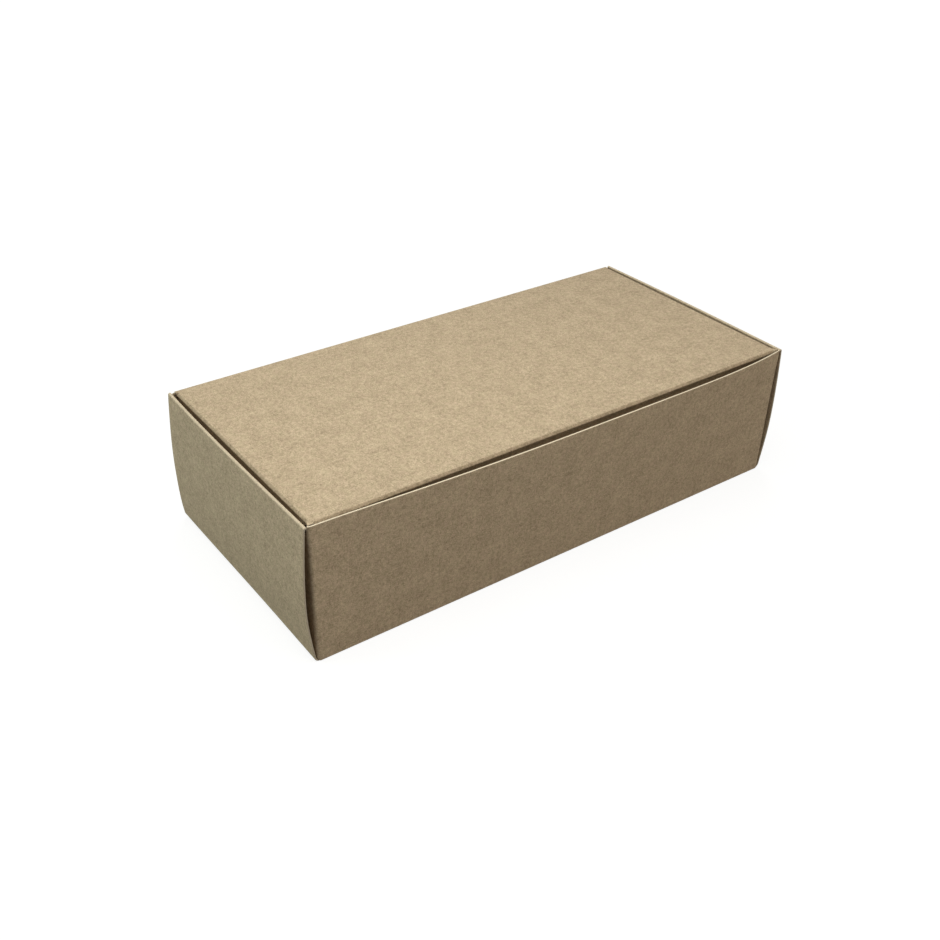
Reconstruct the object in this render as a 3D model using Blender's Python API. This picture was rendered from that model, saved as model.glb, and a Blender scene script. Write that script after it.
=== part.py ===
# A candy box: a one-piece folding carton of plain kraft paperboard, standing shut.
# One die-cut sheet makes the whole box. Each panel between its creases is a piece here, and so
# is each crease that bends when the box is opened.
# The front faces -Y, +Z is up, and the origin lies on the table under the middle of the box.

from math import cos, pi, radians, sin, sqrt

import bmesh
import bpy
from mathutils import Matrix, Vector

# Outside of the box: over the rolled ends, over the front and back, and up to the lid
LENGTH = 0.1804
WIDTH = 0.0857
HEIGHT = 0.0462

# The board, and the outer radii of its creases, of the bends round the corners, and of the ends' feet
BOARD = 0.00046
FOLD_RADIUS = 0.0009
CORNER_RADIUS = 0.0016
FOOT_RADIUS = 0.0022

# How far the springy board stands out: the end walls half way up, and the front at its top edge
END_BULGE = 0.0013
FRONT_BOW = 0.0028

# Clearances: between stacked layers, between neighbouring panels, and at a crease that swings
LAYER_GAP = 0.00015
SEAM_GAP = 0.00015
SWING_GAP = 0.0003

# Play of the lid between the ends, and behind the front wall
LID_SIDE_GAP = 0.0005
LID_FRONT_GAP = 0.0006

# Steps round each square bend, and rows up each bowed wall
BEND_STEPS = 8
WALL_ROWS = 8

# Kraft board: unbleached brown, and a little darker where a crease is pressed in
KRAFT = (0.55, 0.43, 0.27)
PRESSED_KRAFT = (0.5, 0.39, 0.25)
PAPER_ROUGHNESS = 0.85

RIGHT_ANGLE = radians(90)

# Outer faces of the box, which lies centred with its bowed front
BACK = (WIDTH + FRONT_BOW) / 2
FRONT = BACK - WIDTH
END = LENGTH / 2

# Each end is three layers deep, counted in from its outer face: end wall, corner flap, liner
FLAP_FACE = BOARD + LAYER_GAP
LINER_FACE = 2 * FLAP_FACE
RIDGE_WIDTH = LINER_FACE + BOARD
RIDGE_FOOT = HEIGHT - RIDGE_WIDTH / 2

# Where the front and back walls start to bend round the corners
CORNER = END - FLAP_FACE - CORNER_RADIUS

# Outer faces of the lid's folded edges, and its fold lines, where the inner faces meet
LID_END = END - RIDGE_WIDTH - LID_SIDE_GAP
LID_FRONT = FRONT + BOARD + LID_FRONT_GAP
FOLD_HEIGHT = HEIGHT - BOARD
HINGE_LINE = Vector((0, BACK - BOARD, FOLD_HEIGHT))
TUCK_LINE = Vector((0, LID_FRONT + BOARD, FOLD_HEIGHT))
DUST_LINE_X = LID_END - BOARD


def clear_scene():
    for obj in list(bpy.data.objects):
        bpy.data.objects.remove(obj, do_unlink=True)


def kraft(name, colour):
    material = bpy.data.materials.new(name)
    material.use_nodes = True
    shader = material.node_tree.nodes["Principled BSDF"]
    shader.inputs["Base Color"].default_value = (*colour, 1)
    shader.inputs["Roughness"].default_value = PAPER_ROUGHNESS
    shader.inputs["Metallic"].default_value = 0
    return material


def board_piece(name, mesh, outward, colour=KRAFT):
    """A piece of board from its outer face, which looks outward: the thickness is laid inside it."""
    if sum((face.normal * face.calc_area() for face in mesh.faces), Vector()).dot(outward) < 0:
        bmesh.ops.reverse_faces(mesh, faces=mesh.faces)
    for face in mesh.faces:
        face.smooth = True
    for edge in mesh.edges:
        edge.smooth = not edge.is_boundary
    data = bpy.data.meshes.new(name)
    mesh.to_mesh(data)
    mesh.free()
    data.materials.append(kraft(name, colour))
    piece = bpy.data.objects.new(name, data)
    bpy.context.collection.objects.link(piece)
    thickness = piece.modifiers.new("Board", "SOLIDIFY")
    thickness.thickness = BOARD
    thickness.offset = -1
    thickness.use_even_offset = True
    return piece


def curved(name, rows, outward, colour=KRAFT):
    """Board through rows of points, each row as long as the next."""
    mesh = bmesh.new()
    grid = [[mesh.verts.new(point) for point in row] for row in rows]
    for row, following in zip(grid, grid[1:]):
        for a, b, c, d in zip(row, row[1:], following[1:], following):
            mesh.faces.new((a, b, c, d))
    mesh.normal_update()
    return board_piece(name, mesh, outward, colour)


def flat(name, outline, outward, rounded=(), radius=0):
    """Flat board with the given outline, some of its corners rounded."""
    mesh = bmesh.new()
    corners = [mesh.verts.new(point) for point in outline]
    mesh.faces.new(corners)
    if rounded:
        bmesh.ops.bevel(
            mesh,
            geom=[corners[i] for i in rounded],
            offset=radius,
            segments=BEND_STEPS,
            profile=0.5,
            affect="VERTICES",
        )
    mesh.normal_update()
    return board_piece(name, mesh, outward)


def bend(start, turns=1):
    """Unit directions round a bend of so many right angles, from a start angle."""
    steps = BEND_STEPS * abs(turns)
    angles = [start + turns * RIGHT_ANGLE * i / steps for i in range(steps + 1)]
    return [(cos(angle), sin(angle)) for angle in angles]


def hang(piece, fold_line, carrier=None):
    """Puts the piece's origin on the line that it folds on, and lets its carrier take it along."""
    piece.data.transform(Matrix.Translation(-fold_line))
    piece.location = fold_line
    if carrier:
        ride(piece, carrier)


def ride(piece, carrier):
    piece.parent = carrier
    piece.matrix_parent_inverse = Matrix.Translation(-carrier.location)


# Base panel: the floor of the box, between the feet of its four walls
def base_panel():
    x = END - FOOT_RADIUS - SEAM_GAP
    y_front = FRONT + FOLD_RADIUS + SEAM_GAP
    y_back = BACK - FOLD_RADIUS - SEAM_GAP
    outline = [(-x, y_front, 0), (x, y_front, 0), (x, y_back, 0), (-x, y_back, 0)]
    flat("base_panel", outline, Vector((0, 0, -1)))


# Front wall: one board, creased up from the base, whose raw top edge bows out between the corners
BOW_COLUMNS = 24
BOW_LEAN_SHARE = 1.45
BOW_FULLNESS_SHARE = 4
BOW_RISE_SHARE = 1.2


def front_wall():
    half = CORNER - SEAM_GAP
    feet = [(FRONT + FOLD_RADIUS * (1 + c), FOLD_RADIUS * (1 + s)) for c, s in bend(-RIGHT_ANGLE, -1)]
    rise = HEIGHT - FOLD_RADIUS
    rows = []
    for i in range(BOW_COLUMNS + 1):
        along = i / BOW_COLUMNS
        x = half * (2 * along - 1)
        bow = FRONT_BOW * (1 - abs(2 * along**BOW_LEAN_SHARE - 1) ** BOW_FULLNESS_SHARE)
        row = [(x, y, z) for y, z in feet]
        for j in range(1, WALL_ROWS + 1):
            up = j / WALL_ROWS
            row.append((x, FRONT - bow * up**BOW_RISE_SHARE, FOLD_RADIUS + rise * up))
        rows.append(row)
    curved("front_wall", rows, Vector((0, -1, 0)))


# Back wall: one flat board, from its crease at the base to the lid's crease
def back_wall():
    half = CORNER - SEAM_GAP
    side = [(BACK + FOLD_RADIUS * (c - 1), FOLD_RADIUS * (1 + s)) for c, s in bend(-RIGHT_ANGLE)]
    side.append((BACK, HEIGHT - FOLD_RADIUS - SEAM_GAP))
    rows = [[(x, y, z) for y, z in side] for x in (-half, half)]
    curved("back_wall", rows, Vector((0, 1, 0)))


# End walls: the outer board of each end. It springs out half way up, and its side edges are free.
# Two slots at its foot take the tabs of the liner.
END_TRIM = 0.0002
BULGE_DROP_SHARE = 0.85
TAB_WIDTH = 0.012
TAB_SPACING = 0.04
SLOT_PLAY = 0.0004
CUT_OVERRUN = 0.001


def end_wall(name, side):
    top = RIDGE_FOOT - SEAM_GAP
    profile = [(END + FOOT_RADIUS * (c - 1), FOOT_RADIUS * (1 + s)) for c, s in bend(-RIGHT_ANGLE)]
    for j in range(1, WALL_ROWS + 1):
        up = j / WALL_ROWS
        x = END + END_BULGE * sin(pi * up)
        z = FOOT_RADIUS + (top - FOOT_RADIUS) * up ** (1 / BULGE_DROP_SHARE)
        profile.append((x, z))
    rows = [[(side * x, y, z) for x, z in profile] for y in (FRONT + END_TRIM, BACK - END_TRIM)]
    wall = curved(name, rows, Vector((side, 0, 0)))
    for y in tab_places():
        cut_slot(wall, side, y)


def tab_places():
    middle = (FRONT + BACK) / 2
    return [middle - TAB_SPACING / 2, middle + TAB_SPACING / 2]


def cut_slot(wall, side, y):
    inner = END - FOOT_RADIUS - CUT_OVERRUN
    outer = END - LINER_FACE + LAYER_GAP
    cutter = bpy.data.objects.new("slot_cutter", bpy.data.meshes.new("slot_cutter"))
    mesh = bmesh.new()
    bmesh.ops.create_cube(mesh, size=1)
    bmesh.ops.scale(
        mesh,
        vec=(outer - inner, TAB_WIDTH + SLOT_PLAY, FOOT_RADIUS + CUT_OVERRUN),
        verts=mesh.verts,
    )
    mesh.to_mesh(cutter.data)
    mesh.free()
    cutter.location = (side * (outer + inner) / 2, y, (FOOT_RADIUS - CUT_OVERRUN) / 2)
    cutter.hide_render = True
    cutter.display_type = "WIRE"
    bpy.context.collection.objects.link(cutter)
    slot = wall.modifiers.new("Slot", "BOOLEAN")
    slot.operation = "DIFFERENCE"
    slot.object = cutter


# End ridges: the board rolled over the top of each end, from the end wall to the liner
def end_ridge(name, side):
    radius = RIDGE_WIDTH / 2
    profile = [(END + radius * (c - 1), RIDGE_FOOT + radius * s) for c, s in bend(0, 2)]
    rows = [[(side * x, y, z) for x, z in profile] for y in (FRONT + END_TRIM, BACK - END_TRIM)]
    curved(name, rows, Vector((0, 0, 1)))


# End liners: the inner board of each end. It stands on the curve of the end wall's foot and
# locks the corner flaps in, with two tabs in the slots.
def end_liner(name, side):
    x = side * (END - LINER_FACE)
    top = RIDGE_FOOT - SEAM_GAP
    from_foot_centre = max(0, FOOT_RADIUS - LINER_FACE)
    foot_curve = FOOT_RADIUS - sqrt((FOOT_RADIUS - BOARD) ** 2 - from_foot_centre**2)
    bottom = foot_curve + LAYER_GAP
    y_front = FRONT + CORNER_RADIUS
    y_back = BACK - CORNER_RADIUS
    outline = [(x, y_back, bottom), (x, y_back, top), (x, y_front, top), (x, y_front, bottom)]
    for y in tab_places():
        near = y - TAB_WIDTH / 2
        far = y + TAB_WIDTH / 2
        outline += [(x, near, bottom), (x, near, SEAM_GAP), (x, far, SEAM_GAP), (x, far, bottom)]
    flat(name, outline, Vector((side, 0, 0)))


# Corner flaps: they carry the front and back walls round the corners, and stand between the end
# wall and its liner, tapered to slip in. The two at each end stop short of each other.
FLAP_TIP_GAP = 0.0137
FLAP_TAPER = 0.003


def corner_flap(name, side, wall, inward):
    low = FOOT_RADIUS + LAYER_GAP
    high = HEIGHT - RIDGE_WIDTH
    rows = []
    for c, s in bend(0):
        x = CORNER + CORNER_RADIUS * s
        y = wall + inward * CORNER_RADIUS * (1 - c)
        rows.append([(side * x, y, low), (side * x, y, high)])
    tip = wall + inward * (WIDTH - FLAP_TIP_GAP) / 2
    rows.append([(side * x, tip, low + FLAP_TAPER), (side * x, tip, high - FLAP_TAPER)])
    curved(name, rows, Vector((side, 0, 0)))


# Lid crease: the soft bend that carries the lid on the back wall
def lid_hinge_crease():
    side = [
        (BACK + FOLD_RADIUS * (c - 1), HEIGHT + FOLD_RADIUS * (s - 1)) for c, s in bend(0)
    ]
    rows = [[(x, y, z) for y, z in side] for x in (-LID_END, LID_END)]
    crease = curved("lid_hinge_crease", rows, Vector((0, 0, 1)), PRESSED_KRAFT)
    hang(crease, HINGE_LINE)


# Lid panel: the flat top, between its four creases
def lid_panel():
    x = LID_END - FOLD_RADIUS - SEAM_GAP
    y_front = LID_FRONT + FOLD_RADIUS + SEAM_GAP
    y_back = BACK - FOLD_RADIUS - SWING_GAP
    outline = [
        (-x, y_front, HEIGHT),
        (x, y_front, HEIGHT),
        (x, y_back, HEIGHT),
        (-x, y_back, HEIGHT),
    ]
    lid = flat("lid_panel", outline, Vector((0, 0, 1)))
    hang(lid, HINGE_LINE)
    return lid


# Tuck crease: the soft front edge of the lid, mitred where it meets the side creases
def tuck_crease(lid):
    rows = []
    for c, s in bend(RIGHT_ANGLE):
        y = LID_FRONT + FOLD_RADIUS * (1 + c)
        z = HEIGHT + FOLD_RADIUS * (s - 1)
        half = LID_END - (y - LID_FRONT) - BOARD
        rows.append([(-half, y, z), (half, y, z)])
    crease = curved("tuck_crease", rows, Vector((0, -1, 1)), PRESSED_KRAFT)
    ride(crease, lid)


# Dust creases: the soft side edges of the lid
def dust_crease(name, side, lid):
    y_back = HINGE_LINE.y - FOLD_RADIUS
    rows = []
    for c, s in bend(0):
        x = LID_END + FOLD_RADIUS * (c - 1)
        z = HEIGHT + FOLD_RADIUS * (s - 1)
        y_front = LID_FRONT + (LID_END - x) + BOARD
        rows.append([(side * x, y_front, z), (side * x, y_back, z)])
    crease = curved(name, rows, Vector((side, 0, 1)), PRESSED_KRAFT)
    ride(crease, lid)


# Tuck flap: slants in behind the front wall, so that it clears the wall's edge as the lid lifts
TUCK_DEPTH = 0.016
TUCK_SET_BACK = 0.001
TUCK_LEAN = radians(6)
FLAP_CORNER_RADIUS = 0.004


def tuck_flap(lid):
    root = FOLD_RADIUS + SWING_GAP
    wide = LID_END - TUCK_SET_BACK - root
    narrow = LID_END - TUCK_SET_BACK - TUCK_DEPTH
    outline = [
        (-wide, LID_FRONT, HEIGHT - root),
        (-narrow, LID_FRONT, HEIGHT - TUCK_DEPTH),
        (narrow, LID_FRONT, HEIGHT - TUCK_DEPTH),
        (wide, LID_FRONT, HEIGHT - root),
    ]
    flap = flat("tuck_flap", outline, Vector((0, -1, 0)), (1, 2), FLAP_CORNER_RADIUS)
    hang(flap, TUCK_LINE, lid)
    flap.rotation_euler.x = TUCK_LEAN


# Dust flaps: slant in beside the liners, each cut off at 45 degrees behind the tuck flap
DUST_DEPTH = 0.014
DUST_SET_BACK = 0.0005
DUST_HINGE_GAP = 0.002
DUST_LEAN = radians(3)


def dust_flap(name, side, lid):
    root = FOLD_RADIUS + SWING_GAP
    x = side * LID_END
    front = LID_FRONT + DUST_SET_BACK
    back = HINGE_LINE.y - DUST_HINGE_GAP
    outline = [
        (x, front + root, HEIGHT - root),
        (x, front + DUST_DEPTH, HEIGHT - DUST_DEPTH),
        (x, back, HEIGHT - DUST_DEPTH),
        (x, back, HEIGHT - root),
    ]
    flap = flat(name, outline, Vector((side, 0, 0)), (1, 2), FLAP_CORNER_RADIUS)
    hang(flap, Vector((side * DUST_LINE_X, 0, FOLD_HEIGHT)), lid)
    flap.rotation_euler.y = side * DUST_LEAN


def build_tray():
    base_panel()
    front_wall()
    back_wall()
    for hand, side in (("left", -1), ("right", 1)):
        end_wall(f"{hand}_end_wall", side)
        end_ridge(f"{hand}_end_ridge", side)
        end_liner(f"{hand}_end_liner", side)
        corner_flap(f"front_{hand}_corner_flap", side, FRONT, 1)
        corner_flap(f"back_{hand}_corner_flap", side, BACK, -1)
    lid_hinge_crease()


def build_lid():
    lid = lid_panel()
    tuck_crease(lid)
    tuck_flap(lid)
    for hand, side in (("left", -1), ("right", 1)):
        dust_crease(f"{hand}_dust_crease", side, lid)
        dust_flap(f"{hand}_dust_flap", side, lid)


clear_scene()
build_tray()
build_lid()
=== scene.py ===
from math import cos, pi, radians, sin, tan

import bmesh
import bpy
from mathutils import Matrix, Vector
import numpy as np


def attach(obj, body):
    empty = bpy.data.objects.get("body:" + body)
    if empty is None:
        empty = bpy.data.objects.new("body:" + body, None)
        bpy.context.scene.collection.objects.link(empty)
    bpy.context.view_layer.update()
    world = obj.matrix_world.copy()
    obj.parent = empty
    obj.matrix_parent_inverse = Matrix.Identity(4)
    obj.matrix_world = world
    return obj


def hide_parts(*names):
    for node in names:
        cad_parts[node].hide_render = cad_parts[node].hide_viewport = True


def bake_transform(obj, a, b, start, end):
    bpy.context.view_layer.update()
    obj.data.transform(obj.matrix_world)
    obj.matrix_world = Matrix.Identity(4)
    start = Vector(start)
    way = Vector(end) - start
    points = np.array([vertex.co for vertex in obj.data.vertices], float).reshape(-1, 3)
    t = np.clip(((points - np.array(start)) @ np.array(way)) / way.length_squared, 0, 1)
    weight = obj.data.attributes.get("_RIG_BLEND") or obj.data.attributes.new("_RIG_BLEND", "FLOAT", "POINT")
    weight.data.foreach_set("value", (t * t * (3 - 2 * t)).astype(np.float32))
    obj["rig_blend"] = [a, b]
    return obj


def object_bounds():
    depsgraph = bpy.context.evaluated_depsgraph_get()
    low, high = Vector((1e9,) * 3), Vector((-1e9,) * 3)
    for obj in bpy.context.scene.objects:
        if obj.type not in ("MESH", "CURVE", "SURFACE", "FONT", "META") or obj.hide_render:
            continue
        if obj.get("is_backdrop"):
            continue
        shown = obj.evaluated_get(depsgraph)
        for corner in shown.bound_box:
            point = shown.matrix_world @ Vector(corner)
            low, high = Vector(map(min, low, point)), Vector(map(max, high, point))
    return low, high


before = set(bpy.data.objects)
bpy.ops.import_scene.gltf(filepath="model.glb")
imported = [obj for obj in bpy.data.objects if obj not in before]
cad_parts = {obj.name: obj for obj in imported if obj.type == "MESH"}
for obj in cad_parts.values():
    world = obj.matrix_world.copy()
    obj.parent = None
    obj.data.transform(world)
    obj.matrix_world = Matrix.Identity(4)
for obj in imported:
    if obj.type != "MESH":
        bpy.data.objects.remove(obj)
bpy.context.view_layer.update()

# Base panel. It is the middle of the one sheet of 18-point kraft board that the whole box is
# die-cut and creased from, and the floor that the candies stand on. The sheet is laid out flat
# here with its outer face down, and each board is folded up from it as the real one is.
board = 0.00046
base_half = 0.088
base_front = -0.04095
base_back = 0.04375
panel_step = 0.004
raw_edge_round = 0.00006
soft_angle = radians(20)
hair = 0.000002


def spread(start, end, step):
    """Evenly spaced places from start to end, about a step apart."""
    count = max(1, round(abs(end - start) / step))
    return [start + (end - start) * i / count for i in range(count + 1)]


def lay_out(x_places, y_places):
    """A flat sheet with its outer face down, and a line of points at each of the places."""
    sheet = bmesh.new()
    bmesh.ops.create_grid(sheet, x_segments=1, y_segments=1, size=0.5)
    bmesh.ops.reverse_faces(sheet, faces=sheet.faces)
    ends = [(min(p), max(p)) for p in (x_places, y_places)]
    bmesh.ops.scale(sheet, vec=(*[b - a for a, b in ends], 1), verts=sheet.verts)
    bmesh.ops.translate(sheet, vec=(*[(a + b) / 2 for a, b in ends], 0), verts=sheet.verts)
    for across, places in ((Vector((1, 0, 0)), x_places), (Vector((0, 1, 0)), y_places)):
        for place in sorted(set(places))[1:-1]:
            whole = sheet.verts[:] + sheet.edges[:] + sheet.faces[:]
            bmesh.ops.bisect_plane(sheet, geom=whole, plane_co=across * place, plane_no=across)
    return sheet


def mark(sheet):
    """Notes each point's place on the flat sheet, before anything is folded.

    Its wear and painted light start at nothing: 1 is paler, for rubbed wear and painted highlight, and -1 is
    painted shade.
    """
    flat = sheet.verts.layers.float_vector.new("flat")
    sheet.verts.layers.float.new("wear_and_painted_light")
    for point in sheet.verts:
        point[flat] = point.co


def thicken(sheet, joined):
    """Gives the sheet its thickness, with soft raw edges wherever it isn't joined to more board."""
    bmesh.ops.solidify(sheet, geom=sheet.faces[:], thickness=board)
    flat = sheet.verts.layers.float_vector["flat"]
    pattern = sheet.loops.layers.uv.new("sheet")
    raw = set()
    for face in sheet.faces:
        for corner in face.loops:
            corner[pattern].uv = corner.vert[flat].xy
        spots = {tuple(round(c, 6) for c in p[flat]) for p in face.verts}
        if len(spots) < len(face.verts) and not all(joined(p[flat]) for p in face.verts):
            face.material_index = 1
            raw |= {e for e in face.edges if (e.verts[0][flat] - e.verts[1][flat]).length > hair}
    bmesh.ops.bevel(sheet, geom=list(raw), offset=raw_edge_round, segments=2, profile=0.5,
                    affect="EDGES", material=-1)
    for face in sheet.faces:
        face.smooth = True
    for edge in sheet.edges:
        edge.smooth = edge.calc_face_angle(0) < soft_angle


def shader_node(tree, kind, settings={}, **sockets):
    """A node of the tree, with its settings, and its sockets wired or set."""
    made = tree.nodes.new("ShaderNode" + kind)
    for name, value in settings.items():
        setattr(made, name, value)
    for name, value in sockets.items():
        socket = made.inputs[int(name[1:])] if name[0] == "_" else made.inputs[name.replace("_", " ")]
        if isinstance(value, bpy.types.NodeSocket):
            tree.links.new(value, socket)
        else:
            socket.default_value = value
    return made


def fibres(tree, place, spacing, length, width, share):
    """Short fibres that lie at random on the sheet: 1 along each, 0 between them."""
    cell = shader_node(tree, "TexVoronoi", {"voronoi_dimensions": "2D"},
                       Vector=place, Scale=1 / spacing)
    chance = shader_node(tree, "SeparateColor", Color=cell.outputs["Color"])
    offset = shader_node(tree, "VectorMath", {"operation": "SUBTRACT"},
                         _0=place, _1=cell.outputs["Position"])
    angle = shader_node(tree, "Math", {"operation": "MULTIPLY"}, _0=chance.outputs[0], _1=pi)
    turned = shader_node(tree, "VectorRotate", {"rotation_type": "Z_AXIS"},
                         Vector=offset.outputs[0], Angle=angle.outputs[0])
    reach = shader_node(tree, "VectorMath", {"operation": "MULTIPLY"},
                        _0=turned.outputs[0], _1=(2 / length, 2 / width, 0))
    far = shader_node(tree, "VectorMath", {"operation": "LENGTH"}, _0=reach.outputs[0])
    body = shader_node(tree, "MapRange", {"interpolation_type": "SMOOTHSTEP"},
                       Value=far.outputs["Value"], _1=1.0, _2=0.3)
    there = shader_node(tree, "Math", {"operation": "LESS_THAN"}, _0=chance.outputs[1], _1=share)
    fibre = shader_node(tree, "Math", {"operation": "MULTIPLY"}, _0=body.outputs[0], _1=there.outputs[0])
    return fibre.outputs[0]


def added(tree, *terms):
    """The sum of a start value and (socket, weight) pairs, as one socket."""
    total = terms[0]
    for socket, weight in terms[1:]:
        step = shader_node(tree, "Math", {"operation": "MULTIPLY_ADD"}, _0=socket, _1=weight, _2=total)
        total = step.outputs[0]
    return total


def colour_steps(tree, tone, *steps):
    """The colour for a tone, from steps of (tone, colour)."""
    ramp = shader_node(tree, "ValToRGB", Fac=tone)
    marks = ramp.color_ramp.elements
    for i, (place, colour) in enumerate(steps):
        mark = marks[i] if i < 2 else marks.new(place)
        mark.position = place
        mark.color = (*colour, 1)
    return ramp.outputs[0]


dark_kraft = (0.36, 0.274, 0.182)
middle_kraft = (0.568, 0.441, 0.298)
pale_kraft = (0.762, 0.607, 0.423)
rubbed_and_highlight_kraft = (0.77, 0.66, 0.51)


def noise(tree, place, scale, detail, roughness=0.5, socket="Fac", dimensions="2D"):
    """Cloudy noise of so many patches a metre."""
    return shader_node(tree, "TexNoise", {"noise_dimensions": dimensions}, Vector=place,
                       Scale=scale, Detail=detail, Roughness=roughness).outputs[socket]


def new_material(name):
    """A material with its shader, and its node tree."""
    material = bpy.data.materials.new(name)
    material.use_nodes = True
    tree = material.node_tree
    return material, tree, tree.nodes["Principled BSDF"]


def kraft(name):
    """Plain unbleached kraft board: cloudy pulp with dark and pale fibres in it, matt and faintly rough; the
    sheet's wear and painted light make it paler or darker.
    """
    material, tree, shader = new_material(name)
    sheet = shader_node(tree, "UVMap", {"uv_map": "sheet"}).outputs[0]
    waver = noise(tree, sheet, 900.0, 1.0, socket="Color")
    centred = shader_node(tree, "VectorMath", {"operation": "SUBTRACT"}, _0=waver, _1=(0.5, 0.5, 0.5))
    small = shader_node(tree, "VectorMath", {"operation": "SCALE"}, _0=centred.outputs[0], Scale=0.0006)
    place = shader_node(tree, "VectorMath", {"operation": "ADD"}, _0=sheet, _1=small.outputs[0]).outputs[0]
    grain = noise(tree, sheet, 2300.0, 2.0, 0.6)
    floc = noise(tree, place, 800.0, 2.0)
    cloud = noise(tree, sheet, 170.0, 3.0)
    dark = fibres(tree, place, spacing=0.0019, length=0.0022, width=0.00020, share=0.5)
    short = fibres(tree, place, spacing=0.0008, length=0.0007, width=0.00022, share=0.35)
    light = fibres(tree, place, spacing=0.0012, length=0.0015, width=0.00020, share=0.5)
    wear_and_painted_light = shader_node(tree, "Attribute", {"attribute_name": "wear_and_painted_light"}).outputs["Fac"]
    tone = added(tree, 0.5 - 0.5 * (1.3 + 0.8 + 0.45), (grain, 1.3), (floc, 0.8), (cloud, 0.45),
                 (dark, -0.28), (short, -0.2), (light, 0.22), (wear_and_painted_light, 0.25))
    colour = colour_steps(tree, tone, (0.0, dark_kraft), (1.0, pale_kraft), (0.5, middle_kraft))
    hue = noise(tree, sheet, 420.0, 2.0)
    lean = shader_node(tree, "MapRange", Value=hue, _1=0.3, _2=0.7, _3=0.4955, _4=0.5045)
    # Painted shade: below nothing, the attribute darkens the board, down to about half.
    wear_and_painted_shading = shader_node(tree, "MapRange", Value=wear_and_painted_light, _1=-1.0, _2=0.0, _3=0.45, _4=1.0)
    colour = shader_node(tree, "HueSaturation", Hue=lean.outputs[0], Value=wear_and_painted_shading.outputs[0],
                         Color=colour).outputs[0]
    # Rubbed wear and painted highlight: above nothing, the attribute mixes the board paler.
    rubbed_and_highlight = shader_node(tree, "Math", {"operation": "MULTIPLY"}, _0=wear_and_painted_light, _1=0.5)
    colour = shader_node(tree, "Mix", {"data_type": "RGBA"}, _0=rubbed_and_highlight.outputs[0], _6=colour,
                         _7=(*rubbed_and_highlight_kraft, 1)).outputs[2]
    tree.links.new(colour, shader.inputs["Base Color"])
    height = added(tree, 0.0, (grain, 1.0), (floc, 0.6), (dark, 0.5), (light, 0.6))
    bump = shader_node(tree, "Bump", Strength=0.5, Distance=0.00004, Height=height)
    tree.links.new(bump.outputs[0], shader.inputs["Normal"])
    shine = added(tree, 0.78, (grain, 0.14))
    tree.links.new(shine, shader.inputs["Roughness"])
    shader.inputs["Specular IOR Level"].default_value = 0.25
    return material


inner_layer = (0.72, 0.59, 0.43)
pale_layer = (0.99, 0.88, 0.70)


def cut_board(name):
    """The raw edge, where the knife has opened the pale layers inside the board."""
    material, tree, shader = new_material(name)
    spot = shader_node(tree, "TexCoord").outputs["Object"]
    grain = noise(tree, spot, 3500.0, 3.0, 0.65, dimensions="3D")
    drift = noise(tree, spot, 500.0, 2.0, dimensions="3D")
    tone = added(tree, -0.6, (grain, 1.5), (drift, 0.7))
    colour = colour_steps(tree, tone, (0.0, inner_layer), (1.0, pale_layer))
    wear_and_painted_light = shader_node(tree, "Attribute", {"attribute_name": "wear_and_painted_light"}).outputs["Fac"]
    # Painted shade and painted highlight: the attribute darkens the raw edge where negative and pales it
    # where positive, as on the front wall's top.
    wear_and_painted_shading = shader_node(tree, "MapRange", Value=wear_and_painted_light, _1=-1.0, _2=1.0, _3=0.35, _4=1.05)
    colour = shader_node(tree, "HueSaturation", Value=wear_and_painted_shading.outputs[0], Color=colour).outputs[0]
    tree.links.new(colour, shader.inputs["Base Color"])
    bump = shader_node(tree, "Bump", Strength=0.6, Distance=0.00004, Height=grain)
    tree.links.new(bump.outputs[0], shader.inputs["Normal"])
    shader.inputs["Roughness"].default_value = 0.9
    shader.inputs["Specular IOR Level"].default_value = 0.2
    return material


kraft_board = kraft("kraft_board")
raw_edge = cut_board("raw_edge")


def finish(name, sheet, *nodes, slot="kraft_board"):
    """The finished board, standing for its CAD nodes."""
    mesh = bpy.data.meshes.new(name)
    sheet.to_mesh(mesh)
    sheet.free()
    mesh.materials.append(kraft_board)
    mesh.materials.append(raw_edge)
    piece = bpy.data.objects.new(name, mesh)
    bpy.context.scene.collection.objects.link(piece)
    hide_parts(*nodes)
    return piece


sheet = lay_out(spread(-base_half, base_half, panel_step), spread(base_front, base_back, panel_step))
mark(sheet)
thicken(sheet, joined=lambda place: True)
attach(finish("base_board", sheet, "base_panel"), "tray")

# Back wall, with the corner flap at each of its ends. It is creased up from the base, and the
# flaps bend round the corners to stand inside the two ends. Nothing is glued.
bend_steps = 12
wall_step = 0.003
curved_step = 0.002
crease_radius = 0.0005
corner_radius = 0.0011
corner = 0.0879
painted_corner_shade = 0.5
shoulder_steps = (8, 11)
foot_notch = 0.0002
edge_row = 0.0003
top_spread = 0.00025
spread_foot = 0.036
spread_reach = 0.004
box_height = 0.0462
flap_low = 0.0017
flap_high = 0.0436
flap_reach = 0.036
flap_taper = 0.003
ridge_bow = 0.0005
ridge_bow_rise = 3
bow_set_back = 1.2
weld = 0.00002


def bend_places(start, radius, angle=pi / 2, steps=bend_steps):
    """Where the sheet turns in a bend that begins at start, measured over its outer face."""
    chord = 2 * radius * sin(angle / steps / 2)
    return [start + chord * i for i in range(steps + 1)]


def cut_away(sheet, waste):
    """Cuts out the cells whose middle is waste."""
    scrap = [f for f in sheet.faces if waste(f.calc_center_median())]
    bmesh.ops.delete(sheet, geom=scrap, context="FACES")


def trim(sheet, place, outward, near=lambda middle: True):
    """Cuts the sheet along a straight line through place, and drops what lies outward of it."""
    place, outward = Vector((*place, 0)), Vector((*outward, 0))
    cells = [f for f in sheet.faces if near(f.calc_center_median())]
    edges = {e for f in cells for e in f.edges}
    points = {p for f in cells for p in f.verts}
    bmesh.ops.bisect_plane(sheet, geom=[*cells, *edges, *points], plane_co=place, plane_no=outward)
    cut_away(sheet, lambda middle: near(middle) and (middle - place).dot(outward) > 0)


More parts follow.
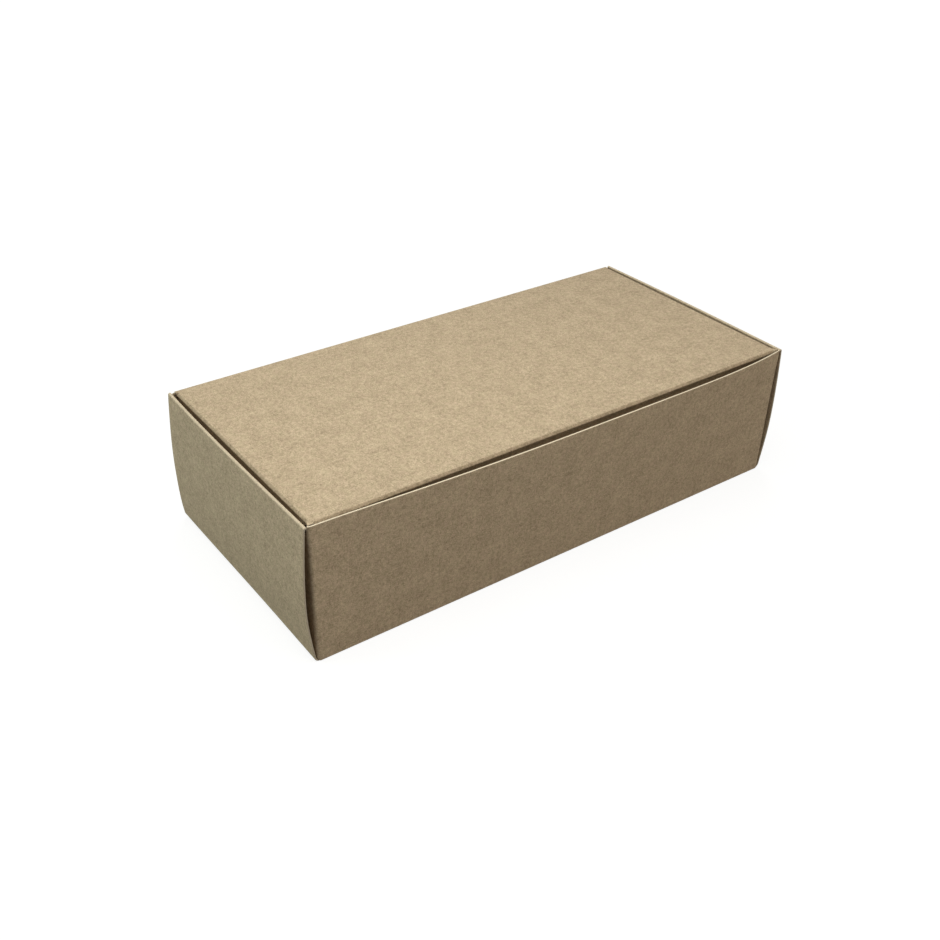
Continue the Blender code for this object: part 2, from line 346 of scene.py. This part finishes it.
def fold(sheet, outward, start, radius, angle=pi / 2, steps=bend_steps, wear_and_highlight=0.1):
    """Folds up what lies beyond a crease, in a bend of the given outer radius, and makes the bend paler: a
    little for rubbed wear, and where much paler, also a painted highlight.
    """
    flat = sheet.verts.layers.float_vector["flat"]
    wear_and_painted_light = sheet.verts.layers.float["wear_and_painted_light"]
    outward = Vector(outward)
    hinge = outward.cross((0, 0, 1))
    places = bend_places(start, radius, angle, steps)
    for i, place in reversed(list(enumerate(places))):
        share = 0.5 if i in (0, steps) else 1
        turn = Matrix.Rotation(angle / steps * share, 3, hinge)
        beyond = [p for p in sheet.verts if p[flat].dot(outward) > place + hair]
        bmesh.ops.rotate(sheet, cent=outward * place, matrix=turn, verts=beyond)
    for point in sheet.verts:
        along = (point[flat].dot(outward) - start) / (places[-1] - start)
        if 0 < along < 1:
            point[wear_and_painted_light] += wear_and_highlight * sin(pi * along)


def arch(y):
    """How far along an end a place is: 1 a little behind its middle, 0 at its front and back."""
    along = min(1, max(0, (y - base_front) / (base_back - base_front)))
    return 1 - (2 * along ** bow_set_back - 1) ** 2


def end_bow(place):
    """How far an end of the box leans out at a place: not at its foot, and most at its top."""
    return ridge_bow * arch(place.y) * (place.z / box_height) ** ridge_bow_rise


def ease(value, start, end):
    """0 before start and 1 after end, with a smooth step between."""
    share = min(1, max(0, (value - start) / (end - start)))
    return share * share * (3 - 2 * share)


def paint_shade(sheet, across, start, end, depth=1):
    """Paints shade on the sheet: darkens it from start to end, and on from there, where it lies in shade
    beside a crease and down in a gap.
    """
    flat = sheet.verts.layers.float_vector["flat"]
    wear_and_painted_light = sheet.verts.layers.float["wear_and_painted_light"]
    for point in sheet.verts:
        point[wear_and_painted_light] -= depth * ease(point[flat].dot(Vector(across)), start, end)


def wall_with_flaps(side, base_edge, top):
    """One long wall and its two corner flaps, cut flat beyond the base's edge and folded up."""
    foot = bend_places(abs(base_edge), crease_radius)
    wall = spread(foot[-1], foot[-1] + top - crease_radius, wall_step)
    high = foot[-1] + flap_high - crease_radius
    turn = bend_places(corner, corner_radius)
    tip = turn[-1] + flap_reach - corner_radius
    half = turn + spread(turn[-1], tip, panel_step)
    columns = [-x for x in half] + spread(-corner, corner, curved_step) + half
    sheet = lay_out(columns, [side * y for y in foot + wall + [high, wall[-1] - edge_row]])
    shoulder, neck = [turn[i] for i in shoulder_steps]
    cut_away(sheet, lambda middle: abs(middle.x) > neck and side * middle.y > high)

    def cut(start, end, inner, outer, up):
        """Trims both flaps along the line from start to end, between two places across."""
        rise = Vector(end) - Vector(start)
        for hand in (-1, 1):
            trim(sheet, (hand * start[0], side * start[1]), (-up * hand * rise.y, up * side * rise.x),
                 near=lambda middle: inner < hand * middle.x < outer)

    low = foot[-1] + flap_low - crease_radius
    cut((corner, foot[0] + foot_notch), (turn[-1], low), corner, turn[-1], -1)
    cut((turn[-1], low), (tip, low + flap_taper), turn[-1], tip, -1)
    cut((shoulder, wall[-1]), (neck, high), corner, neck, 1)
    cut((turn[-1], high), (tip, high - flap_taper), turn[-1], tip, 1)
    bmesh.ops.remove_doubles(sheet, verts=sheet.verts, dist=weld)
    mark(sheet)
    for hand in (1, -1):
        # Painted shade on the corner bends, which lie in the shade behind the ends' raw edges.
        paint_shade(sheet, (hand, 0, 0), turn[0], turn[-1], painted_corner_shade)
        fold(sheet, (hand, 0, 0), corner, corner_radius)
    fold(sheet, (0, side, 0), abs(base_edge), crease_radius)
    flat = sheet.verts.layers.float_vector["flat"]
    for point in sheet.verts:
        hand = 1 if point.co.x > 0 else -1
        out = ease(abs(point[flat].x), corner - spread_reach, corner)
        point.co.x += hand * top_spread * out * ease(point.co.z, spread_foot, flap_high)
        if abs(point[flat].x) > turn[-1] - hair:
            point.co.x += hand * end_bow(point.co)
    return sheet


sheet = wall_with_flaps(1, base_back, box_height - crease_radius)
hinge_start = bend_places(base_back, crease_radius)[-1] + box_height - 2 * crease_radius
thicken(sheet, joined=lambda place: abs(place.x) < corner + hair
        and (abs(place.y - base_back) < hair or abs(place.y - hinge_start) < hair))
nodes = ("back_wall", "back_left_corner_flap", "back_right_corner_flap")
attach(finish("back_wall_board", sheet, *nodes), "tray")

# Front wall, with its two corner flaps. It ends in a raw edge at the top, which springs out
# between the corners, because the tuck flap pushes behind it.
front_bow = 0.0028
bow_lean = 1.45
bow_fullness = 4
bow_rise = 1.2

sheet = wall_with_flaps(-1, base_front, box_height)
flat = sheet.verts.layers.float_vector["flat"]
wear_and_painted_light = sheet.verts.layers.float["wear_and_painted_light"]
for point in sheet.verts:
    # Painted highlight: the top of the front wall and its raw edge are made paler, where the edge catches
    # the light.
    if point.co.z > box_height - hair:
        point[wear_and_painted_light] = 1
    if abs(point[flat].x) < corner and point.co.z > crease_radius:
        along = ((point[flat].x / corner + 1) / 2) ** bow_lean
        up = (point.co.z - crease_radius) / (box_height - crease_radius)
        point.co.y -= front_bow * (1 - abs(2 * along - 1) ** bow_fullness) * up ** bow_rise
thicken(sheet, joined=lambda place: abs(place.y - base_front) < hair)
nodes = ("front_wall", "front_left_corner_flap", "front_right_corner_flap")
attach(finish("front_wall_board", sheet, *nodes), "tray")

# The two ends. Each is one strip of board: it comes up from the base as the end wall, rolls over
# the corner flaps in a ridge, and goes down inside as the liner, whose tabs lock into slots at
# the foot of the wall. The springy board bulges out between the ridge and the foot.
foot_radius = 0.0022
foot_flare = 0.0026
foot_give = 0.0007
foot_spread = 0.0003
give_height = 0.018
ridge_radius = 0.00052
ridge_foot = 0.04568
ridge_steps = 20
ridge_pinch = 0.00005
pinch_foot = 0.0436
liner_step = 0.00114
liner_front = -0.04
liner_back = 0.0428
end_front = -0.0411
end_back = 0.04405
end_bulge = 0.00129
bulge_drop = 0.85
bulge_dip = 0.06
neck_step = 0.0003
ridge_inner_step = 12
painted_roll_shade = 0.7
liner_foot = 0.0009
tab_foot = 0.00015
tab_half = 0.006
tab_places = (-0.0186, 0.0214)
slot_reach = 0.0012
slot_play = 0.0002


for name, side in (("left", -1), ("right", 1)):
    foot = bend_places(base_half, foot_radius)
    wall = spread(foot[-1], foot[-1] + pinch_foot - foot_radius, wall_step)
    neck = spread(wall[-1], foot[-1] + ridge_foot - foot_radius, neck_step)
    ridge = bend_places(neck[-1], ridge_radius, pi, ridge_steps)
    inner_neck = spread(ridge[-1], ridge[-1] + ridge_foot - pinch_foot, neck_step)
    liner_end = ridge[-1] + ridge_foot - liner_foot
    liner = spread(inner_neck[-1], liner_end, wall_step)
    tab_end = ridge[-1] + ridge_foot - tab_foot
    slot_end = base_half + slot_reach
    slot_half = tab_half + slot_play
    tabs = [y + reach for y in tab_places for reach in (-tab_half, tab_half)]
    slots = [y + reach for y in tab_places for reach in (-slot_half, slot_half)]
    rows = spread(end_front, end_back, curved_step) + tabs + slots
    rows += [base_front, base_back, liner_front, liner_back]
    places = foot + wall + neck + ridge + inner_neck + liner + [slot_end, tab_end]
    sheet = lay_out([side * x for x in places], rows)

    def near_tab(middle, reach):
        return any(abs(middle.y - tab) < reach for tab in tab_places)

    def waste(middle):
        """Whether a cell lies in a slot, beside the liner or between its tabs."""
        out = side * middle.x
        in_slot = out < slot_end and near_tab(middle, slot_half)
        beside_liner = out > inner_neck[-1] and not liner_front < middle.y < liner_back
        between_tabs = out > liner_end and not near_tab(middle, tab_half)
        return in_slot or beside_liner or between_tabs

    cut_away(sheet, waste)
    for point in sheet.verts:
        out = side * point.co.x
        flare = sin(pi / 2 * min(1, (out - base_half) / foot_flare))
        narrowing = ease(out, ridge[-1], inner_neck[-1])
        for edge, width in ((base_front, flare), (base_back, flare),
                            (liner_front, 1 - narrowing), (liner_back, 1 - narrowing)):
            if (point.co.y - edge) * edge > 0:
                point.co.y = edge + (point.co.y - edge) * width
    bmesh.ops.remove_doubles(sheet, verts=sheet.verts, dist=hair)
    mark(sheet)
    # Painted shade: the roll's inner face is darkened, as it lies in the gap's shade, and that fades out
    # again down the liner
    paint_shade(sheet, (side, 0, 0), ridge[ridge_inner_step], ridge[-1], painted_roll_shade)
    paint_shade(sheet, (side, 0, 0), ridge[-1], inner_neck[-1], -painted_roll_shade)
    # The ridge is made much paler: rubbed wear, and a painted highlight along the roll.
    fold(sheet, (side, 0, 0), neck[-1], ridge_radius, pi, ridge_steps, wear_and_highlight=1)
    fold(sheet, (side, 0, 0), base_half, foot_radius)
    flat = sheet.verts.layers.float_vector["flat"]
    for point in sheet.verts:
        out = side * point[flat].x
        up = min(1, max(0, (point.co.z - foot_radius) / (ridge_foot - foot_radius)))
        pinch = ease(point.co.z, pinch_foot, ridge_foot)
        inward = ridge_pinch * pinch if out < neck[-1] + hair else ridge_pinch
        if out > ridge[-1]:
            inward += (liner_step - ridge_pinch) * (1 - pinch)
        if out < wall[-1]:
            give = foot_give * ease(point.co.y, base_back, base_front / 2) - foot_spread
            share = min(1, (out - base_half) / (foot[-1] - base_half))
            inward += give * share * (1 - ease(point.co.z, foot_radius, give_height))
        bulge = 0
        if foot[-1] < out < neck[-1]:
            bulge = end_bulge * sin(pi * up ** bulge_drop) * (1 - bulge_dip * arch(point.co.y))
        point.co.x += side * (end_bow(point.co) + bulge - inward)
    thicken(sheet, joined=lambda place: abs(side * place.x - base_half) < hair)
    nodes = [f"{name}_end_{part}" for part in ("wall", "ridge", "liner")]
    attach(finish(f"{name}_end_board", sheet, *nodes), "tray")

# Hinge crease. The soft bend along the top of the back wall carries the lid. It is the same
# board, pressed with a rule so that it bends there, and it opens out as the lid swings up.
lid_half = 0.08802
hinge_land = 0.0007
land_step = 0.0001
hinge_end = bend_places(hinge_start, crease_radius)[-1]
lid_rear = hinge_end + hinge_land


def fold_over(sheet):
    """Brings what lies beyond the hinge crease up over the box."""
    fold(sheet, (0, 1, 0), hinge_start, crease_radius)
    fold(sheet, (0, 1, 0), base_back, crease_radius)


sheet = lay_out(spread(-lid_half, lid_half, panel_step),
                bend_places(hinge_start, crease_radius) + spread(hinge_end, lid_rear, land_step))
mark(sheet)
fold_over(sheet)
thicken(sheet, joined=lambda place: abs(abs(place.x) - lid_half) > hair)
piece = finish("lid_hinge_crease_board", sheet, "lid_hinge_crease", slot="pressed_crease")
wall_top = box_height - crease_radius
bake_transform(piece, "tray", "lid",
         start=(0, base_back + crease_radius, wall_top), end=(0, base_back - hinge_land, wall_top))

# Lid panel. It lies flat over the candies. The tips at its two front corners flare a little to
# fill the corners of the box, and the bends of the tuck flap and the dust flaps run into them.
# The bends at its front and left are pressed twice, and the one at its right only once.
tuck_lean = radians(6)
dust_lean = radians(3)
tuck_line = -0.03993
dust_line = 0.08756
tuck_facet = 0.0006
dust_facets = {-1: 0.0006, 1: 0}
half_steps = 7
corner_web = 0.0004
tip_ear = (0.0008, 0.0001)
tip_radius = 0.0003
corner_cuts = 6
seam = 0.00002
rear_strip = 0.0003
lid_step = 0.002


def round_off(sheet, centre, radius, start, end, side=1):
    """Rounds a corner with a run of short straight cuts round its centre, from one angle to another."""
    centre = Vector((side * centre[0], centre[1]))
    for i in range(corner_cuts):
        angle = start + (end - start) * (i + 0.5) / corner_cuts
        outward = Vector((side * cos(angle), sin(angle)))
        trim(sheet, centre + outward * radius, outward)


def crease_reach(facet, angle):
    """From a double crease's start to the line where the two boards' outer faces would meet."""
    soft = crease_radius * tan(angle / 4)
    return soft + (facet + 2 * soft) / (2 * cos(angle / 2))


def crease_places(start, facet, angle):
    """Where the sheet turns in a double crease: two half bends, with a flat facet between them."""
    first = bend_places(start, crease_radius, angle / 2, half_steps)
    return first + bend_places(first[-1] + facet, crease_radius, angle / 2, half_steps)


def double_fold(sheet, outward, start, facet, angle):
    """Folds up what lies beyond a double crease."""
    for place in (crease_places(start, facet, angle)[half_steps + 1], start):
        fold(sheet, outward, place, crease_radius, angle / 2, half_steps)


tuck_angle = pi / 2 + tuck_lean
dust_angle = pi / 2 + dust_lean
tuck_reach = crease_reach(tuck_facet, tuck_angle)
dust_reach = {side: crease_reach(dust_facets[side], dust_angle) for side in (-1, 1)}
tuck_start = tuck_line - board * tan(tuck_angle / 2) + tuck_reach
dust_start = {side: dust_line + board * tan(dust_angle / 2) - dust_reach[side] for side in (-1, 1)}
lid_front_edge = hinge_end + base_back - tuck_start

web_x = {side: dust_start[side] - corner_web for side in (-1, 1)}
web_y = lid_front_edge - corner_web
tip_x = {side: dust_start[side] + dust_reach[side] - seam for side in (-1, 1)}
tip_y = lid_front_edge + tuck_reach - seam
rear_y = lid_rear + rear_strip
columns = [side * x for side in (-1, 1) for x in (web_x[side], dust_start[side], tip_x[side], lid_half)]
sheet = lay_out(columns + spread(-web_x[-1], web_x[1], lid_step),
                [rear_y, *spread(lid_rear, web_y, lid_step), lid_front_edge, tip_y])


def off_lid(middle):
    """Whether a cell lies off the lid and its front tips."""
    side = 1 if middle.x > 0 else -1
    panel = abs(middle.x) < dust_start[side] and middle.y < lid_front_edge
    corner = web_x[side] < abs(middle.x) < tip_x[side] and middle.y > web_y
    return not (panel or corner or middle.y < rear_y)


def in_seam(place):
    """Whether a place lies on a line where the lid runs on into a crease."""
    side = 1 if place.x > 0 else -1
    inside = abs(place.x) < tip_x[side] - hair and place.y < tip_y - hair
    lines = (abs(place.x) - web_x[side], abs(place.x) - dust_start[side], place.y - web_y,
             place.y - lid_front_edge, place.y - lid_rear, place.y - rear_y)
    return inside and any(abs(line) < hair for line in lines)


cut_away(sheet, off_lid)
for side in (-1, 1):
    centre = (tip_x[side] - tip_radius, tip_y - tip_radius)
    round_off(sheet, centre, tip_radius, 0, pi / 2, side)
for point in sheet.verts:
    side = 1 if point.co.x > 0 else -1
    beside = max(0, abs(point.co.x) - dust_start[side]) / (tip_x[side] - dust_start[side])
    ahead = max(0, point.co.y - web_y) / (tip_y - web_y)
    point.co += Vector((side * tip_ear[0], tip_ear[1], 0)) * beside * ahead
mark(sheet)
fold_over(sheet)
thicken(sheet, joined=in_seam)
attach(finish("lid_board", sheet, "lid_panel"), "lid")

# Tuck flap and its crease, along the lid's front. The flap slants in behind the front wall and
# holds the box shut. Its ends are cut off at 45 degrees, with rounded corners, to slip in.
tuck_depth = 0.016
tuck_set_back = 0.001
flap_corner = 0.004
flap_step = 0.001
painted_shade_width = 0.003
painted_outer_shade = 0.25
painted_facet_shade = 0.75
bend_core = 0.9
sharp_share = 0.75
sharp_reach = 0.0024
sharp_step = 0.0003


def toward_end(end):
    """Closer places near the end of a crease, where the bend sharpens."""
    return [end - sharp_step * i for i in range(1, round(sharp_reach / sharp_step) + 1)]


def paint_crease_shade(sheet, across, bend):
    """Paints shade on the two halves of a crease, and most of all on the half that turns down into the gap's
    shade.
    """
    paint_shade(sheet, across, bend[0], bend[half_steps], painted_outer_shade)
    paint_shade(sheet, across, bend[half_steps + 1], bend[-1], painted_facet_shade)


def sharpen(sheet, start, across, reach, far_from_end):
    """Pulls the bend out towards a square corner near the crease's cut end."""
    for point in sheet.verts:
        out, rise = point.co.dot(across) - start, point.co.z - box_height + reach
        near = max(0, 1 - far_from_end(point.co) / sharp_reach)
        share = sharp_share * near * near * (reach / max(abs(out), abs(rise)) - 1)
        point.co += (Vector(across) * out + Vector((0, 0, rise))) * share


tuck_bend = crease_places(lid_front_edge, tuck_facet, tuck_angle)
left_end, right_end = seam - web_x[-1], web_x[1] - seam
fine = [-x for x in toward_end(-left_end)] + toward_end(right_end)
sheet = lay_out(spread(left_end, right_end, panel_step) + fine, tuck_bend)
mark(sheet)
# Painted shade down the tuck crease, where it turns into the slot behind the front wall.
paint_crease_shade(sheet, (0, 1, 0), tuck_bend)
double_fold(sheet, (0, 1, 0), lid_front_edge, tuck_facet, tuck_angle)
fold_over(sheet)
sharpen(sheet, -tuck_start, (0, -1, 0), tuck_reach,
        far_from_end=lambda spot: min(spot.x - left_end, right_end - spot.x))
thicken(sheet, joined=lambda place: True)
piece = finish("tuck_crease_board", sheet, "tuck_crease", slot="pressed_crease")
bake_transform(piece, "lid", "tuck_flap",
         start=(0, tuck_start, box_height - board),
         end=(0, tuck_line, box_height - bend_core * tuck_reach))

flap_start = tuck_bend[-1]
flap_end = flap_start + tuck_depth - tuck_reach
wide = lid_half - tuck_set_back - tuck_reach
turn_in = flap_end - flap_start - flap_corner
centre = (wide - turn_in - 2 ** 0.5 * flap_corner, flap_end - flap_corner)
sheet = lay_out(spread(-wide, wide, panel_step), spread(flap_start, flap_end, flap_step))
for side in (-1, 1):
    trim(sheet, (side * wide, flap_start), (side, 1))
    round_off(sheet, centre, flap_corner, pi / 4, pi / 2, side)
mark(sheet)
# Painted shade along the flap's root, just under the crease, where it lies in the slot's shade.
paint_shade(sheet, (0, 1, 0), flap_start + painted_shade_width, flap_start)
double_fold(sheet, (0, 1, 0), lid_front_edge, tuck_facet, tuck_angle)
fold_over(sheet)
thicken(sheet, joined=lambda place: abs(place.y - flap_start) < hair)
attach(finish("tuck_flap_board", sheet, "tuck_flap"), "tuck_flap")

# Dust flaps and their creases, along the lid's two sides. They hang down beside the liners and
# close the ends of the lid. Each is cut off at 45 degrees at the front, behind the tuck flap.
dust_depth = 0.014
dust_set_back = 0.0007
dust_hinge_gap = 0.002
dust_front = lid_front_edge - dust_set_back
dust_back = hinge_end + dust_hinge_gap

for name, side in (("left", -1), ("right", 1)):
    start, reach = dust_start[side], dust_reach[side]
    dust_bend = crease_places(start, dust_facets[side], dust_angle)
    low = dust_bend[-1]
    high = low + dust_depth - reach
    front = web_y - seam
    sheet = lay_out([side * x for x in dust_bend],
                    [*spread(rear_y + seam, front, panel_step), *toward_end(front)])
    mark(sheet)
    # Painted shade down the dust crease, where it turns into the gap beside the end's ridge.
    paint_crease_shade(sheet, (side, 0, 0), dust_bend)
    double_fold(sheet, (side, 0, 0), start, dust_facets[side], dust_angle)
    fold_over(sheet)
    sharpen(sheet, start, (side, 0, 0), reach,
            far_from_end=lambda spot: spot.y - tuck_start - corner_web - seam)
    thicken(sheet, joined=lambda place: True)
    piece = finish(f"{name}_dust_crease_board", sheet, f"{name}_dust_crease", slot="pressed_crease")
    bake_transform(piece, "lid", f"{name}_dust_flap",
             start=(side * start, 0, box_height - board),
             end=(side * dust_line, 0, box_height - bend_core * reach))

    sheet = lay_out([side * x for x in spread(low, high, flap_step)],
                    spread(dust_back, dust_front, panel_step))
    trim(sheet, (side * low, dust_front), (side, 1))
    middle = high - flap_corner
    front_middle = low + dust_front - middle - 2 ** 0.5 * flap_corner
    round_off(sheet, (middle, front_middle), flap_corner, 0, pi / 4, side)
    round_off(sheet, (middle, dust_back + flap_corner), flap_corner, 0, -pi / 2, side)
    mark(sheet)
    # Painted shade along the flap's root, just under the crease, where it lies in the gap's shade.
    paint_shade(sheet, (side, 0, 0), low + painted_shade_width, low)
    double_fold(sheet, (side, 0, 0), start, dust_facets[side], dust_angle)
    fold_over(sheet)
    thicken(sheet, joined=lambda place: abs(side * place.x - low) < hair)
    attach(finish(f"{name}_dust_flap_board", sheet, f"{name}_dust_flap"), f"{name}_dust_flap")

# Table. It isn't part of the box: a plain white sweep that the box stands on, which keeps the
# box's soft shadow and runs out into the white of the room. It is clear from below.
sweep_radius = 6
sweep_drop = 0.00003
table_grey = 0.25
table = bmesh.new()
bmesh.ops.create_circle(table, cap_ends=True, radius=sweep_radius, segments=64)
mesh = bpy.data.meshes.new("table")
table.to_mesh(mesh)
table.free()
floor = bpy.data.objects.new("table", mesh)
bpy.context.scene.collection.objects.link(floor)
floor.location.z = -sweep_drop
white = bpy.data.materials.new("white_sweep")
white.use_nodes = True
tree = white.node_tree
paper = shader_node(tree, "BsdfDiffuse", Color=(table_grey, table_grey, table_grey, 1))
seen = shader_node(tree, "LightPath")
spot = shader_node(tree, "TexCoord")
far = shader_node(tree, "VectorMath", {"operation": "LENGTH"}, _0=spot.outputs["Object"])
fade = shader_node(tree, "MapRange", {"interpolation_type": "SMOOTHSTEP"}, Value=far.outputs["Value"],
                   _1=0.15, _2=0.6, _3=0.86, _4=1.0)
lift = shader_node(tree, "Math", {"operation": "MULTIPLY"},
                   _0=seen.outputs["Is Camera Ray"], _1=fade.outputs[0])
glow = shader_node(tree, "Emission", Strength=lift.outputs[0])
both = shader_node(tree, "AddShader", _0=paper.outputs[0], _1=glow.outputs[0])
below = shader_node(tree, "NewGeometry")
clear = shader_node(tree, "BsdfTransparent")
one_sided = shader_node(tree, "MixShader", _0=below.outputs["Backfacing"],
                        _1=both.outputs[0], _2=clear.outputs[0])
tree.links.new(one_sided.outputs[0], tree.nodes["Material Output"].inputs["Surface"])
mesh.materials.append(white)
floor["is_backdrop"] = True

# Light. Four soft boxes stand in a white room: one high on the right behind the box, one close
# over its lid, one low on the left behind it, and one low in front. The room adds a faint even
# light, and looks pure white to the camera.
world = bpy.data.worlds.new("room")
bpy.context.scene.world = world
world.use_nodes = True
tree = world.node_tree
seen = shader_node(tree, "LightPath")
room = tree.nodes["Background"]
bright = shader_node(tree, "MapRange", Value=seen.outputs["Is Camera Ray"], _3=0.2, _4=1.0)
tree.links.new(bright.outputs[0], room.inputs["Strength"])
room.inputs["Color"].default_value = (1, 1, 1, 1)


def soft_box(name, place, target, size, power, colour):
    """A round soft box of so many watts, turned to its target."""
    lamp = bpy.data.lights.new(name, "AREA")
    lamp.shape = "DISK"
    lamp.size = size
    lamp.energy = power
    lamp.color = colour
    made = bpy.data.objects.new(name, lamp)
    bpy.context.scene.collection.objects.link(made)
    made.location = place
    made.rotation_euler = (Vector(target) - Vector(place)).to_track_quat("-Z", "Y").to_euler()
    made.visible_camera = False


box_middle = (0, 0, 0.03)
soft_box("window", (0.45, 0.6, 0.8), box_middle, 0.6, 2.13, (1.0, 0.96, 0.93))
soft_box("overhead", (-0.06, -0.06, 0.31), (-0.06, -0.06, 0), 0.3, 0.51, (0.99, 1.0, 0.915))
soft_box("left", (-0.8, 0.45, 0.3), box_middle, 0.5, 3.14, (0.87, 1.0, 0.93))
soft_box("front", (0.35, -0.95, 0.3), box_middle, 0.5, 1.85, (1.0, 0.9, 0.755))

# Camera. It stands where the photograph was taken from, beyond the box's front left corner, and
# looks down at it from about 35 degrees up.
turn, tilt, roll = radians(-35.379), radians(34.576), radians(0.703)
back = Vector((sin(turn) * cos(tilt), -cos(turn) * cos(tilt), sin(tilt)))
right = (-back).cross((0, 0, 1)).normalized()
up = right.cross(-back)
right, up = right * cos(roll) + up * sin(roll), up * cos(roll) - right * sin(roll)
lens = bpy.data.cameras.new("camera")
lens.lens = 42.206
lens.sensor_width = 36
lens.shift_x = 0.0252
lens.shift_y = 0.0336
lens.clip_start = 0.01
camera = bpy.data.objects.new("camera", lens)
bpy.context.scene.collection.objects.link(camera)
camera.matrix_world = Matrix((right, up, back)).transposed().to_4x4()
camera.location = (-0.19153, -0.24644, 0.21093)
bpy.context.scene.camera = camera
bpy.context.scene.view_settings.view_transform = "Standard"

bpy.context.view_layer.update()
low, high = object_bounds()
